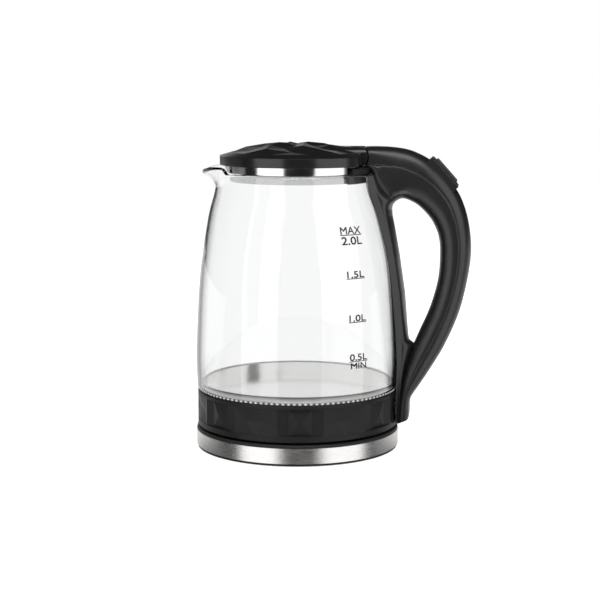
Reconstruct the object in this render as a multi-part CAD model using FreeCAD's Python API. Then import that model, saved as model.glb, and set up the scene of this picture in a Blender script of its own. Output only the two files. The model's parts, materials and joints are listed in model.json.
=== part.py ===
import FreeCAD
import Part
import math
import os

V = FreeCAD.Vector
AXIS = V(0, 0, 1)

# The kettle stands on z = 0 with its axis on Z, the handle towards +X and the spout towards -X.
# All sizes are in millimetres.

# Power base
base_radius = 79.0
foot_drop = 0.8
foot_ring_inset = 7.0
foot_ring_width = 6.0
foot_sink = 0.8
plate_thick = 1.8
plate_inset = 0.6
skirt_height = 11.6
skirt_thick = 0.8
cover_wall = 2.2
lip_height = 2.5
lip_inset = 0.3
lip_round = 1.1
deck_thick = 2.0
deck_rise = 1.0
seat_inset = 12.0
seat_width = 9.0
base_screw_inset = 29.0
base_screw_count = 3
base_screw_angle = 30.0
screw_radius = 1.5
screw_head_radius = 3.0
screw_head_height = 1.2
screw_end_room = 1.0
boss_radius = 4.2
inlet_bore = 3.6
inlet_wall = 1.4
inlet_flange = 1.6
inlet_flange_gap = 0.5
inlet_stand_out = 1.0

# Round coupler between the base and the kettle
post_radius = 17.5
post_rise = 9.4
connector_flange = 24.0
connector_flange_thick = 2.2
pin_radius = 2.35
contact_radii = (8.0, 13.0)
contact_thick = 0.8
contact_gap = 0.4
spring_contact_thick = 0.4
slot_floor_rise = 1.3
socket_radius = 21.0
socket_gap = 0.6
socket_top_thick = 2.8

# Kettle body under the glass
groove_height = 1.9
rest_gap = 0.3
turn_gap = 0.35
band_inset = 1.8
band_wall = 2.8
band_height = 28.2
rim_height = 4.2
flange_height = 3.6
flange_wall = 3.8
facet_proud = 0.7
facet_sunk = 0.9
facet_repeats = 7
facet_angle = 20.9
cover_thick = 2.0
fit_gap = 0.1
bottom_screw_inset = 3.6
bottom_screw_count = 3
bottom_screw_angle = 60.0
bottom_boss_height = 13.0
seal_thick = 1.4
seal_tooth_count = 116
seal_tooth_depth = 0.7
seal_upstand = 4.2
seal_lip = 1.0
plate_floor_drop = 4.4
heater_plate_thick = 1.0
diffuser_inset = 17.4
diffuser_thick = 3.2
element_inset = 10.0
element_radius = 3.4
element_sweep = 305.0
terminal_pin_radius = 1.6
terminal_pin_length = 7.0
terminal_pin_angle = 3.0
controller_radius = 19.0
controller_thick = 5.0
controller_post_ring = 13.0
controller_post_radius = 4.0
bimetal_radius = 6.5
bimetal_thick = 0.6
terminal_tab = (8.0, 4.0, 0.8)

# Glass jug. It overhangs the band, swells to the belly and draws in from there, at heights below the rim.
glass_wall = 3.5
glass_height = 165.0
glass_overhang = 1.1
glass_belly_swell = 0.4
glass_belly_rise = 32.0
glass_waist_inset = 3.7
glass_waist_drop = 73.5
glass_shoulder_inset = 11.5
glass_shoulder_drop = 36.0
glass_neck_inset = 18.3
glass_neck_drop = 15.0
glass_rim_inset = 21.7
glass_foot_lean = 0.02
glass_rim_lean = -0.04
spout_lean = 4.8
spout_lean_drop = 61.0
spout_lean_power = 0.8
spout_beak = 13.4
spout_beak_drop = 10.5
spout_beak_power = 1.4
spout_half_angle = 40.0
jug_plan_points = 60
jug_levels = 18
jug_level_crowding = 2.0

# Handle. Its outlines lie in the XZ plane as (reach beyond the jug's belly, height). The heights count
# from the rim in the upper lists, from half way up in the middle lists and from the band's lower edge
# in the lower lists.
handle_half_width = 15.0
handle_edge_round = 8.0
handle_wall = 2.6
switch_side_room = 1.3
glass_gap = 0.8
handle_top_rise = 20.4
edge_upper = ((-12.7, 20.5), (3.3, 19.0), (12.8, 16.0), (22.8, 10.7),
              (32.3, 2.2), (40.8, -8.2), (47.5, -19.2), (52.8, -35.7))
edge_middle = ((55.3, 40.6), (53.1, 18.1), (46.8, -8.9))
edge_lower = ((36.3, 63.1), (21.3, 37.5), (11.9, 23.9), (9.8, 18.0), (9.5, 8.4))
foot_rise = 1.4
foot_corner = 5.0
cut_past = 1.0
hole_top = ((-6.1, -27.4), (-3.5, -21.6), (2.8, -19.0), (11.8, -22.4), (20.8, -30.2), (27.7, -40.7))
hole_right = ((31.5, 39.1), (30.5, 17.1), (24.3, -5.4))
hole_bottom = ((15.7, 71.9), (11.5, 63.7), (9.5, 62.6), (8.2, 65.4), (7.2, 77.4))
hole_left = ((5.1, 5.1), (0.7, 34.1))
parting_upper = ((-20.7, 1.4), (0.3, -0.8), (15.7, -6.8), (26.1, -15.2), (37.3, -35.2))
parting_middle = ((42.9, 36.1), (39.8, 9.1), (32.3, -14.9))
parting_lower = ((20.3, 57.4), (11.3, 39.4), (7.7, 25.4), (7.2, 10.0))
saddle_thick = 5.2
saddle_top_drop = 5.2
saddle_height = 90.0
saddle_top_half_width = 22.0
foot_screw_rise = 9.0
foot_screw_grip = 8.0
top_screw_reach = -1.7
top_screw_drop = 18.0
top_screw_length = 24.0

# Rim bracket under the nose of the handle
bracket_half_angle = 38.0
bracket_rise = 5.0
bracket_gap = 0.4
bracket_tab_thick = 2.1
bracket_overhang = 1.0
bracket_tab_drop = 7.0

# Lid
lid_overhang = 2.7
lid_lift = 6.5
lid_wall_height = 7.0
lid_wall = 2.4
lid_shoulder_inset = 8.7
lid_shoulder_rise = 2.6
lid_top_rise = 9.2
lid_facet_rings = (14.0, 27.0, 40.0)
lid_facet_count = 12
lid_facet_step = 1.2
lid_roof = 3.2
lid_plate_thick = 2.0
collar_inset = 1.0
collar_thick = 0.8
collar_gap = 0.9
collar_flange = 6.0
plug_gap = 3.2
plug_height = 7.4
plug_cut_half_angle = 42.0
lid_screw_ring = 36.0
lid_screw_count = 3
lid_screw_angle = 60.0
lid_screw_length = 7.0
neck_half_width = 15.0
neck_length = 20.5
neck_round = 6.0
neck_overhang = 4.6
hinge_inset = 10.5
hinge_drop = 7.1
hinge_pin_radius = 1.6
hinge_pin_half_length = 12.0
hinge_running_gap = 0.05
hinge_seam = 1.2
hinge_end_gap = 0.3
lug_half_width = 6.0
lug_radius = 6.4
lug_root = 2.0
lid_open_angle = 75.0
lid_rear_overhang = 3.0

# Switch, set out from a place on the handle's outer edge
switch_reach = 33.9
switch_rise = 0.7
bezel_length = 30.0
bezel_width = 20.0
bezel_rise = 2.2
bezel_depth = 4.0
bezel_round = 1.2
rocker_length = 23.0
rocker_width = 13.0
rocker_rise = 4.0
rocker_thick = 4.4
rocker_end_gap = 1.5
rocker_side_gap = 0.6
rocker_round = 1.2
rocker_groove_count = 3
rocker_groove_pitch = 3.2
rocker_groove_width = 1.0
rocker_groove_depth = 0.5
rocker_hub_half_width = 5.5
rocker_hub_radius = 3.0
rocker_pivot_depth = 6.5
rocker_pin_radius = 1.2
ear_gap = 0.5
ear_thick = 2.2
switch_body_length = 20.0
switch_body_height = 8.0
steam_bimetal_radius = 5.0
steam_bimetal_thick = 0.5

# Wires from the controller to the switch
wire_radius = 1.0
wire_spread = 3.0
wire_room = 0.3
wire_bend = 12.0
wire_bend_share = 0.45
wire_lower = ((5.8, 29.4), (18.3, 52.4))
wire_middle = ((28.3, -20.9), (36.3, 2.1), (40.8, 26.1))
wire_upper = ((40.8, -47.2),)
wire_foot_reach = 4.8
wire_lead = 14.0

# Heights that follow from the sizes above
z_plate_top = foot_drop + plate_thick
z_skirt_top = z_plate_top + skirt_height
z_lip_top = z_skirt_top + lip_height
z_deck_top = z_skirt_top + deck_rise
z_deck_bottom = z_deck_top - deck_thick
z_post_top = z_deck_top + post_rise
z_body = z_lip_top + groove_height
z_socket_ceiling = z_post_top + socket_gap
z_socket_top = z_socket_ceiling + socket_top_thick
z_facets_low = z_body + rim_height
z_band_top = z_body + band_height
z_facets_high = z_band_top - flange_height
z_glass = z_band_top + seal_thick
z_rim = z_glass + glass_height
z_plate_floor = z_glass - plate_floor_drop
z_diffuser_top = z_plate_floor - heater_plate_thick
z_diffuser_bottom = z_diffuser_top - diffuser_thick
z_controller = z_socket_top + turn_gap
z_wire = z_controller + controller_thick + terminal_tab[2] + wire_radius
z_middle = (z_body + z_rim) / 2
z_foot = z_body + foot_rise
z_foot_screw = z_body + foot_screw_rise
z_handle_top = z_rim + handle_top_rise
z_nose = z_rim + bracket_rise
z_lid = z_rim + lid_lift
z_lid_edge = z_lid + lid_wall_height
z_lid_shoulder = z_lid_edge + lid_shoulder_rise
z_lid_top = z_lid_edge + lid_top_rise
z_hinge = z_handle_top - hinge_drop
z_collar = z_rim + collar_gap

# Radii and places that follow from the sizes above
foot_ring_outer = base_radius - foot_ring_inset
foot_ring_inner = foot_ring_outer - foot_ring_width
seat_outer = base_radius - seat_inset
seat_inner = seat_outer - seat_width
base_screw_ring = base_radius - base_screw_inset
band_radius = base_radius - band_inset
band_inner = band_radius - band_wall
band_smooth = band_radius + facet_proud
flange_inner = band_radius - flange_wall
bottom_screw_ring = band_inner - bottom_screw_inset
diffuser_radius = flange_inner - diffuser_inset
element_ring = diffuser_radius - element_inset
glass_lower_radius = band_radius + glass_overhang
glass_belly_radius = glass_lower_radius + glass_belly_swell
glass_rim_radius = glass_belly_radius - glass_rim_inset
glass_mouth = glass_rim_radius - glass_wall
bracket_outer = glass_rim_radius + bracket_overhang
bracket_inner = glass_mouth - bracket_gap - bracket_tab_thick
lid_radius = glass_rim_radius + lid_overhang
lid_shoulder_radius = lid_radius - lid_shoulder_inset
collar_radius = glass_rim_radius - collar_inset
plug_radius = glass_mouth - plug_gap
hinge_x = glass_rim_radius - hinge_inset
neck_barrel = math.hypot(neck_overhang, hinge_drop)
nose_hollow = neck_barrel + hinge_seam
lid_rear = hinge_x + lid_rear_overhang
ear_inner = rocker_hub_half_width + ear_gap
ear_outer = ear_inner + ear_thick
z_switch_body = -rocker_pivot_depth - rocker_hub_radius - ear_gap


def disc(radius, low, high, x=0.0, y=0.0):
    return Part.makeCylinder(radius, high - low, V(x, y, low), AXIS)


def ring(inner, outer, low, high):
    return disc(outer, low, high).cut(disc(inner, low, high))


def box(x_range, y_range, z_range):
    size = [high - low for low, high in (x_range, y_range, z_range)]
    return Part.makeBox(size[0], size[1], size[2], V(x_range[0], y_range[0], z_range[0]))


def lathe(points):
    """A solid turned about Z from an outline of (radius, height) points."""
    outline = Part.makePolygon([V(r, 0, z) for r, z in points] + [V(points[0][0], 0, points[0][1])])
    return Part.Face(outline).revolve(V(0, 0, 0), AXIS, 360)


def spread(count, radius, start=0.0):
    """Points evenly spaced round Z."""
    turns = [math.radians(start + 360.0 * i / count) for i in range(count)]
    return [(radius * math.cos(t), radius * math.sin(t)) for t in turns]


def wedge(half_angle, radius, low, high):
    """A pie slice about the handle's direction."""
    slice_solid = Part.makeCylinder(radius, high - low, V(0, 0, low), AXIS, 2 * half_angle)
    slice_solid.rotate(V(0, 0, 0), AXIS, -half_angle)
    return slice_solid


def along_x(radius, start, end, z):
    return Part.makeCylinder(radius, end - start, V(start, 0, z), V(1, 0, 0))


def pin_along_y(radius, half_length, x, z):
    return Part.makeCylinder(radius, 2 * half_length, V(x, -half_length, z), V(0, 1, 0))


def fused(shapes):
    whole = shapes[0]
    for shape in shapes[1:]:
        whole = whole.fuse(shape)
    return whole.removeSplitter()


def cut_all(shape, tools):
    for tool in tools:
        shape = shape.cut(tool)
    return shape


def curve(points, closed=False):
    """A smooth edge in the XZ plane through the given points."""
    spline = Part.BSplineCurve()
    spline.interpolate(Points=[V(x, 0, z) for x, z in points], PeriodicFlag=closed)
    return spline.toShape()


def line(a, b):
    return Part.makeLine(V(a[0], 0, a[1]), V(b[0], 0, b[1]))


def slab(edges, half_width):
    """A closed XZ outline pushed out to both sides of the handle's plane."""
    face = Part.Face(Part.Wire(edges))
    face.translate(V(0, -half_width, 0))
    return face.extrude(V(0, 2 * half_width, 0))


def screws(places, low, length):
    """Identical screws with their heads down."""
    made = []
    for x, y in places:
        head = disc(screw_head_radius, low, low + screw_head_height, x, y)
        shank = disc(screw_radius, low + screw_head_height, low + length, x, y)
        made.append(head.fuse(shank).removeSplitter())
    return Part.makeCompound(made)


# Power base

base_screw_places = spread(base_screw_count, base_screw_ring, base_screw_angle)
base_screw_length = z_deck_bottom - foot_drop - screw_end_room
z_inlet = z_plate_top + skirt_height / 2
inlet_outer = inlet_bore + inlet_wall


def along_cord_inlet(radius, start, end):
    return Part.makeCylinder(radius, end - start, V(0, start, z_inlet), V(0, 1, 0))


def rubber_foot_ring():
    return ring(foot_ring_inner, foot_ring_outer, 0, foot_drop + foot_sink)


def base_bottom_plate():
    plate = disc(base_radius - plate_inset, foot_drop, z_plate_top)
    holes = [disc(screw_radius, foot_drop, z_plate_top, x, y) for x, y in base_screw_places]
    heads = [disc(screw_head_radius, foot_drop, foot_drop + screw_head_height, x, y)
             for x, y in base_screw_places]
    return cut_all(plate, [rubber_foot_ring()] + holes + heads)


def base_skirt():
    skirt = ring(base_radius - skirt_thick, base_radius, z_plate_top, z_skirt_top)
    return skirt.cut(along_cord_inlet(inlet_outer, 0, base_radius + inlet_flange))


def base_top_cover():
    wall_outer = base_radius - skirt_thick
    wall_inner = wall_outer - cover_wall
    wall = ring(wall_inner, wall_outer, z_plate_top, z_skirt_top)
    lip = ring(wall_inner, base_radius - lip_inset, z_skirt_top, z_lip_top)
    edges = [e for e in lip.Edges if abs(e.BoundBox.ZMin - z_lip_top) < 1e-6]
    lip = lip.makeFillet(lip_round, [e for e in edges if e.Length > 1.0])
    deck = disc(wall_inner, z_deck_bottom, z_deck_top)
    seat = ring(seat_inner, seat_outer, z_deck_top, z_body - rest_gap)
    bosses = [disc(boss_radius, z_plate_top, z_deck_bottom, x, y) for x, y in base_screw_places]
    cover = fused([wall, lip, deck, seat] + bosses)
    holes = [disc(screw_radius, z_plate_top, foot_drop + base_screw_length, x, y)
             for x, y in base_screw_places]
    holes.append(disc(post_radius, z_deck_bottom, z_deck_top))
    holes.append(along_cord_inlet(inlet_outer, 0, base_radius + inlet_flange))
    return cut_all(cover, holes)


def base_connector():
    flange = disc(connector_flange, z_deck_bottom - connector_flange_thick, z_deck_bottom)
    post = disc(post_radius, z_deck_bottom - connector_flange_thick, z_post_top)
    floor = z_deck_top + slot_floor_rise
    bore = disc(pin_radius + contact_gap + spring_contact_thick, floor, z_post_top)
    inside = contact_thick / 2 + contact_gap
    outside = inside + spring_contact_thick
    slots = [ring(r - inside, r + outside, floor, z_post_top) for r in contact_radii]
    return cut_all(flange.fuse(post).removeSplitter(), [bore] + slots)


def base_contacts():
    floor = z_deck_top + slot_floor_rise
    top = z_post_top - socket_gap
    inner_radii = [pin_radius + contact_gap]
    inner_radii += [r + contact_thick / 2 + contact_gap for r in contact_radii]
    return Part.makeCompound([ring(r, r + spring_contact_thick, floor, top) for r in inner_radii])


def base_screws():
    return screws(base_screw_places, foot_drop, base_screw_length)


def cord_inlet_bush():
    """A sleeve through the wall of the base, held inside by a flange with flats above and below."""
    wall_inner = base_radius - skirt_thick - cover_wall
    inner_end = wall_inner - inlet_flange
    outer_end = base_radius + inlet_stand_out
    sleeve = along_cord_inlet(inlet_outer, inner_end, outer_end)
    flange = along_cord_inlet(inlet_outer + inlet_flange, inner_end, wall_inner - inlet_flange_gap)
    flats = box((-base_radius, base_radius), (inner_end, wall_inner),
                (z_plate_top + fit_gap, z_deck_bottom - fit_gap))
    return fused([sleeve, flange.common(flats)]).cut(along_cord_inlet(inlet_bore, 0, outer_end))


# Round coupler

def coupler_socket():
    wall = ring(post_radius + socket_gap, socket_radius, z_body, z_socket_top)
    return wall.fuse(disc(socket_radius, z_socket_ceiling, z_socket_top)).removeSplitter()


def coupler_contacts():
    tip = z_deck_top + slot_floor_rise + contact_gap
    pieces = [disc(pin_radius, tip, z_socket_ceiling)]
    for r in contact_radii:
        pieces.append(ring(r - contact_thick / 2, r + contact_thick / 2, tip, z_socket_ceiling))
    return Part.makeCompound(pieces)


# Kettle body under the glass

bottom_screw_places = spread(bottom_screw_count, bottom_screw_ring, bottom_screw_angle)
bottom_screw_length = cover_thick + bottom_boss_height - 2 * screw_end_room


def facet_ring():
    """The belt of flat triangles, crossed panels between ridges, repeated round the band."""
    columns = 8 * facet_repeats
    z_mid = (z_facets_low + z_facets_high) / 2
    proud = band_radius + facet_proud
    sunk = band_radius - facet_sunk

    def corner(column, radius, z):
        angle = math.radians(facet_angle + 360.0 * column / columns)
        return V(radius * math.cos(angle), radius * math.sin(angle), z)

    outer_row = {0: None, 1: sunk, 2: proud, 3: None, 4: proud, 5: None, 6: proud, 7: sunk}
    middle_row = {0: proud, 1: sunk, 2: proud, 3: sunk, 4: None, 5: sunk, 6: proud, 7: sunk}

    def top(column):
        return corner(column, outer_row[column % 8], z_facets_high)

    def bottom(column):
        return corner(column, outer_row[column % 8], z_facets_low)

    def middle(column):
        return corner(column, middle_row[column % 8], z_mid)

    faces = []

    def triangle(a, b, c):
        faces.append(Part.Face(Part.makePolygon([a, b, c, a])))

    def mirrored(column, a, b, c):
        """The same triangle on both sides of a crossed panel."""
        triangle(*[kind(column + step) for kind, step in (a, b, c)])
        triangle(*[kind(column - step) for kind, step in (a, c, b)])

    for column in range(0, columns, 8):
        triangle(top(column - 1), middle(column), top(column + 1))
        triangle(bottom(column - 1), bottom(column + 1), middle(column))
        mirrored(column, (middle, 0), (middle, 1), (top, 1))
        mirrored(column, (middle, 0), (bottom, 1), (middle, 1))
        mirrored(column, (top, 1), (middle, 1), (top, 2))
        mirrored(column, (bottom, 1), (bottom, 2), (middle, 1))
        mirrored(column, (middle, 1), (middle, 2), (top, 2))
        mirrored(column, (middle, 1), (bottom, 2), (middle, 2))
        mirrored(column, (top, 2), (middle, 2), (middle, 3))
        mirrored(column, (middle, 2), (bottom, 2), (middle, 3))
        mirrored(column, (top, 2), (middle, 3), (top, 4))
        mirrored(column, (bottom, 2), (bottom, 4), (middle, 3))
        far = column + 4
        triangle(middle(far - 1), middle(far + 1), top(far))
        triangle(middle(far - 1), bottom(far), middle(far + 1))
    rim_columns = [c for c in range(columns) if outer_row[c % 8] is not None]
    high = [top(c) for c in rim_columns]
    low = [bottom(c) for c in rim_columns]
    faces.append(Part.Face(Part.makePolygon(high + [high[0]])))
    faces.append(Part.Face(Part.makePolygon(low + [low[0]])))
    shell = Part.Shell(faces)
    shell.sewShape()
    solid = Part.Solid(shell)
    if solid.Volume < 0:
        solid.reverse()
    return solid


def body_band():
    low_rim = disc(band_smooth, z_body, z_facets_low)
    z_chamfer = z_facets_high + flange_height / 2
    high_flange = lathe([(0, z_facets_high), (band_smooth, z_facets_high), (band_smooth, z_chamfer),
                         (band_radius, z_band_top), (0, z_band_top)])
    band = fused([low_rim, facet_ring(), high_flange])
    hollow = disc(band_inner, z_body, z_facets_high).fuse(disc(flange_inner, z_body, z_band_top))
    band = band.cut(hollow)
    cover_top = z_body + cover_thick
    room = disc(band_inner, cover_top, z_facets_high)
    bosses = [disc(boss_radius, cover_top, cover_top + bottom_boss_height, x, y).common(room)
              for x, y in bottom_screw_places]
    holes = [disc(screw_radius, z_body, z_body + bottom_screw_length, x, y) for x, y in bottom_screw_places]
    slot = wire_spread + 2 * wire_radius
    holes.append(box((diffuser_radius, base_radius), (-slot, slot),
                     (z_wire - 2 * wire_radius, z_wire + 2 * wire_radius)))
    holes.append(along_x(screw_radius, band_inner - screw_head_height, base_radius, z_foot_screw))
    return cut_all(fused([band] + bosses), holes)


def bottom_cover():
    cover = ring(socket_radius + turn_gap, band_inner - fit_gap, z_body, z_body + cover_thick)
    holes = [disc(screw_radius, z_body, z_body + cover_thick, x, y) for x, y in bottom_screw_places]
    heads = [disc(screw_head_radius, z_body, z_body + screw_head_height, x, y)
             for x, y in bottom_screw_places]
    return cut_all(cover, holes + heads)


def bottom_screws():
    return screws(bottom_screw_places, z_body, bottom_screw_length)


def jug_seal():
    """A silicone ring under the glass edge, toothed outside, with an upstand inside the glass."""
    outer = band_radius
    count = 2 * seal_tooth_count
    teeth = []
    for i in range(count):
        radius = outer + (seal_tooth_depth if i % 2 else 0.0)
        angle = 2 * math.pi * i / count
        teeth.append(V(radius * math.cos(angle), radius * math.sin(angle), z_band_top))
    flat = Part.Face(Part.makePolygon(teeth + [teeth[0]])).extrude(V(0, 0, seal_thick))
    inner_glass = glass_lower_radius - glass_wall
    upstand = disc(inner_glass - fit_gap, z_glass, z_glass + seal_upstand)
    return flat.fuse(upstand).removeSplitter().cut(disc(flange_inner, z_band_top, z_glass + seal_upstand))


def heater_plate():
    """A shallow steel pan whose wall presses against the seal."""
    outer = flange_inner
    inner = outer - heater_plate_thick
    top = z_glass + seal_upstand - seal_lip
    pan = disc(outer, z_plate_floor - heater_plate_thick, top)
    return pan.cut(disc(inner, z_plate_floor, top))


def heat_diffuser():
    return disc(diffuser_radius, z_diffuser_bottom, z_diffuser_top)


def heating_element():
    """A tube bent to an open ring under the diffuser, with a connecting pin at each end."""
    z = z_diffuser_bottom - element_radius
    section = Part.Face(Part.Wire(Part.makeCircle(element_radius, V(element_ring, 0, z), V(0, 1, 0))))
    tube = section.revolve(V(0, 0, 0), AXIS, element_sweep)
    tube.rotate(V(0, 0, 0), AXIS, (360.0 - element_sweep) / 2)
    pins = []
    for side in (1, -1):
        angle = math.radians(side * ((360.0 - element_sweep) / 2 + terminal_pin_angle))
        x = element_ring * math.cos(angle)
        y = element_ring * math.sin(angle)
        pins.append(disc(terminal_pin_radius, z - terminal_pin_length, z, x, y))
    return fused([tube] + pins)


def controller_posts():
    return spread(2, controller_post_ring, 90.0)


def thermostat_controller():
    body = disc(controller_radius, z_controller, z_controller + controller_thick)
    z_post = z_controller + controller_thick
    posts = [disc(controller_post_radius, z_post, z_diffuser_bottom - bimetal_thick, x, y)
             for x, y in controller_posts()]
    return fused([body] + posts)


def thermostat_discs():
    return Part.makeCompound([disc(bimetal_radius, z_diffuser_bottom - bimetal_thick, z_diffuser_bottom, x, y)
                              for x, y in controller_posts()])


def controller_terminals():
    length, width, thick = terminal_tab
    z = z_controller + controller_thick
    tabs = []
    for side in (1, -1):
        y = side * wire_spread
        tabs.append(box((controller_radius - length, controller_radius), (y - width / 2, y + width / 2),
                        (z, z + thick)))
    return Part.makeCompound(tabs)


# Glass jug

def glass_curve(inset=0.0):
    """Outer radius of the jug against height as a smooth curve, moved in by an inset."""
    belly = glass_belly_radius
    levels = [(glass_lower_radius, z_glass),
              (belly, z_glass + glass_belly_rise),
              (belly - glass_waist_inset, z_rim - glass_waist_drop),
              (belly - glass_shoulder_inset, z_rim - glass_shoulder_drop),
              (belly - glass_neck_inset, z_rim - glass_neck_drop),
              (glass_rim_radius, z_rim)]
    points = [V(radius - inset, 0, z) for radius, z in levels]
    spline = Part.BSplineCurve()
    spline.interpolate(Points=points, InitialTangent=V(glass_foot_lean, 0, 1),
                       FinalTangent=V(glass_rim_lean, 0, 1))
    return spline


def radius_at(spline, z):
    low, high = spline.FirstParameter, spline.LastParameter
    for _ in range(50):
        middle = (low + high) / 2
        if spline.value(middle).z < z:
            low = middle
        else:
            high = middle
    return spline.value(low).x


def spout_reach(z):
    """How far the spout stands out of the jug at a height: a slow lean and a beak under the rim."""
    drop = z_rim - z
    lean = max(0.0, 1 - drop / spout_lean_drop) ** spout_lean_power
    beak = max(0.0, 1 - drop / spout_beak_drop) ** spout_beak_power
    return spout_lean * lean + spout_beak * beak


def jug_plan(radius, reach, z):
    """One level of the jug: a circle with the spout swelling out of it towards -X."""
    half = math.radians(spout_half_angle)
    points = []
    for i in range(jug_plan_points):
        angle = 2 * math.pi * i / jug_plan_points
        off = abs(angle - math.pi)
        swell = math.cos(off / half * math.pi / 2) ** 2 if off < half else 0.0
        r = radius + reach * swell
        points.append(V(r * math.cos(angle), r * math.sin(angle), z))
    outline = Part.BSplineCurve()
    outline.interpolate(Points=points, PeriodicFlag=True)
    return Part.Wire([outline.toShape()])


def jug_body(inset, overrun):
    """The jug's form, filled. The overrun carries it past the rim and the lower edge."""
    spline = glass_curve(inset)
    wires = []
    for i in range(jug_levels):
        share = i / (jug_levels - 1)
        rise = glass_height * (1 - (1 - share) ** jug_level_crowding)
        z = z_glass + rise
        wires.append(jug_plan(radius_at(spline, z), spout_reach(z), z))
    body = Part.makeLoft(wires, True)
    if overrun > 0:
        below = Part.Face(wires[0]).extrude(V(0, 0, -overrun))
        above = Part.Face(wires[-1]).extrude(V(0, 0, overrun))
        body = body.fuse([below, above])
    return body


def glass_jug():
    return jug_body(0.0, 0.0).cut(jug_body(glass_wall, cut_past))


# Handle

def placed(points, level):
    return [(glass_belly_radius + reach, level + rise) for reach, rise in points]


handle_edge = ([(hinge_x, z_handle_top)] + placed(edge_upper, z_rim) + placed(edge_middle, z_middle)
               + placed(edge_lower, z_body))
hole_edge = (placed(hole_top, z_rim) + placed(hole_right, z_middle) + placed(hole_bottom, z_body)
             + placed(hole_left, z_middle))
parting = placed(parting_upper, z_rim) + placed(parting_middle, z_middle) + placed(parting_lower, z_body)


def beside(points, distance):
    """Points moved sideways off the smooth curve through them, to its right for a positive distance."""
    spline = curve(points).Curve
    moved = []
    for x, z in points:
        along = spline.tangent(spline.parameter(V(x, 0, z)))[0]
        moved.append((x + distance * along.z, z - distance * along.x))
    return moved


def around_jug(gap):
    """A filled form that stands a gap off the glass and closes on the band and the rim bracket."""
    spline = glass_curve(-gap)
    foot = spline.value(spline.FirstParameter)
    top = spline.value(spline.LastParameter)
    band = band_smooth + fit_gap
    rim = bracket_outer + fit_gap
    corners = [(top.x, top.z), (rim, z_rim), (rim, z_nose), (0, z_nose), (0, 0), (band, 0), (band, z_glass),
               (foot.x, foot.z)]
    edges = [spline.toShape()]
    edges += [line(start, end) for start, end in zip(corners, corners[1:]) if start != end]
    return Part.Face(Part.Wire(edges)).revolve(V(0, 0, 0), AXIS, 360)


def handle_outline(z_low, corner):
    """The handle from the side, filled, its foot ending at a height and rounded at its outer corner."""
    end = handle_edge[-1]
    turn = corner * (1 - math.sqrt(0.5))
    arc = Part.Arc(V(end[0], 0, z_low + corner), V(end[0] - turn, 0, z_low + turn),
                   V(end[0] - corner, 0, z_low))
    corners = [(end[0] - corner, z_low), (hinge_x, z_low), handle_edge[0]]
    edges = [curve(handle_edge), line(end, (end[0], z_low + corner)), arc.toShape()]
    edges += [line(start, stop) for start, stop in zip(corners, corners[1:])]
    return slab(edges, handle_half_width)


def handle_block():
    """The handle as one piece: a rounded slab with the finger hole, shaped to the jug and the lid's neck."""
    block = handle_outline(z_foot - 3 * foot_corner, foot_corner)
    sides = [e for e in block.Edges if e.BoundBox.YLength < 1e-3]
    outer = [e for e in sides if e.BoundBox.XMin > hinge_x + cut_past and e.BoundBox.XLength < 1e-3]
    outer += [e for e in sides if e.BoundBox.ZMax > z_handle_top and e.BoundBox.XLength > foot_corner]
    block = block.makeFillet(handle_edge_round, outer)
    block = block.common(handle_outline(z_foot, foot_corner))
    block = block.cut(slab([curve(hole_edge, True)], handle_half_width + cut_past))
    nose_room = pin_along_y(nose_hollow, handle_half_width + cut_past, hinge_x, z_hinge)
    return cut_all(block, [around_jug(glass_gap), nose_room])


def handle_hollow():
    upper = curve(beside(handle_edge, handle_wall)[2:14])
    lower = curve(beside(hole_edge, -handle_wall)[2:10])
    ends = [(v.X, v.Z) for v in upper.Vertexes] + [(v.X, v.Z) for v in lower.Vertexes]
    edges = [upper, line(ends[1], ends[3]), lower, line(ends[2], ends[0])]
    return slab(Part.__sortEdges__(edges), ear_outer + switch_side_room)


def outer_side():
    """Everything on the outer side of the handle's parting line."""
    far = 2 * glass_belly_radius
    first, last = parting[0], parting[-1]
    above = z_lid_top + far
    corners = [last, (last[0], 0), (far, 0), (far, above), (0, above), (0, first[1]), first]
    edges = [curve(parting)] + [line(start, end) for start, end in zip(corners, corners[1:])]
    return slab(edges, handle_half_width + saddle_top_half_width)


def saddle():
    """The flanks of the inner shell that lie along the shoulder of the glass."""
    top = z_rim - saddle_top_drop
    low = top - saddle_height
    outline = [V(0, -handle_half_width, low), V(0, handle_half_width, low), V(0, saddle_top_half_width, top),
               V(0, -saddle_top_half_width, top), V(0, -handle_half_width, low)]
    reach = Part.Face(Part.makePolygon(outline)).extrude(V(2 * glass_belly_radius, 0, 0))
    return around_jug(glass_gap + saddle_thick).common(reach).cut(around_jug(glass_gap))


def handle_room():
    """All that is taken out of both shells: the hollow, the switch opening, the wires and the screws."""
    opening = box((-bezel_length / 2, bezel_length / 2), (-bezel_width / 2, bezel_width / 2),
                  (-bezel_depth, handle_edge_round))
    return [handle_hollow(), on_handle(opening)] + wires(wire_radius + wire_room) + [
        along_x(screw_radius, glass_rim_radius, foot_screw_end, z_foot_screw),
        disc(screw_radius, z_top_screw, z_top_screw + top_screw_length, x_top_screw),
        disc(screw_head_radius, z_top_screw - handle_wall * 2, z_top_screw + screw_head_height, x_top_screw)]


def handle_inner():
    shell = handle_block().cut(outer_side())
    return cut_all(fused([shell, saddle()]), handle_room())


def handle_outer():
    shell = handle_block().common(outer_side())
    arm = box((hinge_x, hinge_x + nose_hollow + lug_root), (-lug_half_width, lug_half_width),
              (z_lid, z_hinge + lug_radius))
    lug = pin_along_y(lug_radius, lug_half_width, hinge_x, z_hinge)
    bore = pin_along_y(hinge_pin_radius, lug_half_width, hinge_x, z_hinge)
    return cut_all(fused([shell, arm, lug]), handle_room() + [bore])


foot_screw_end = band_smooth + foot_screw_grip
x_top_screw = glass_belly_radius + top_screw_reach
z_top_screw = z_rim - top_screw_drop


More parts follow.
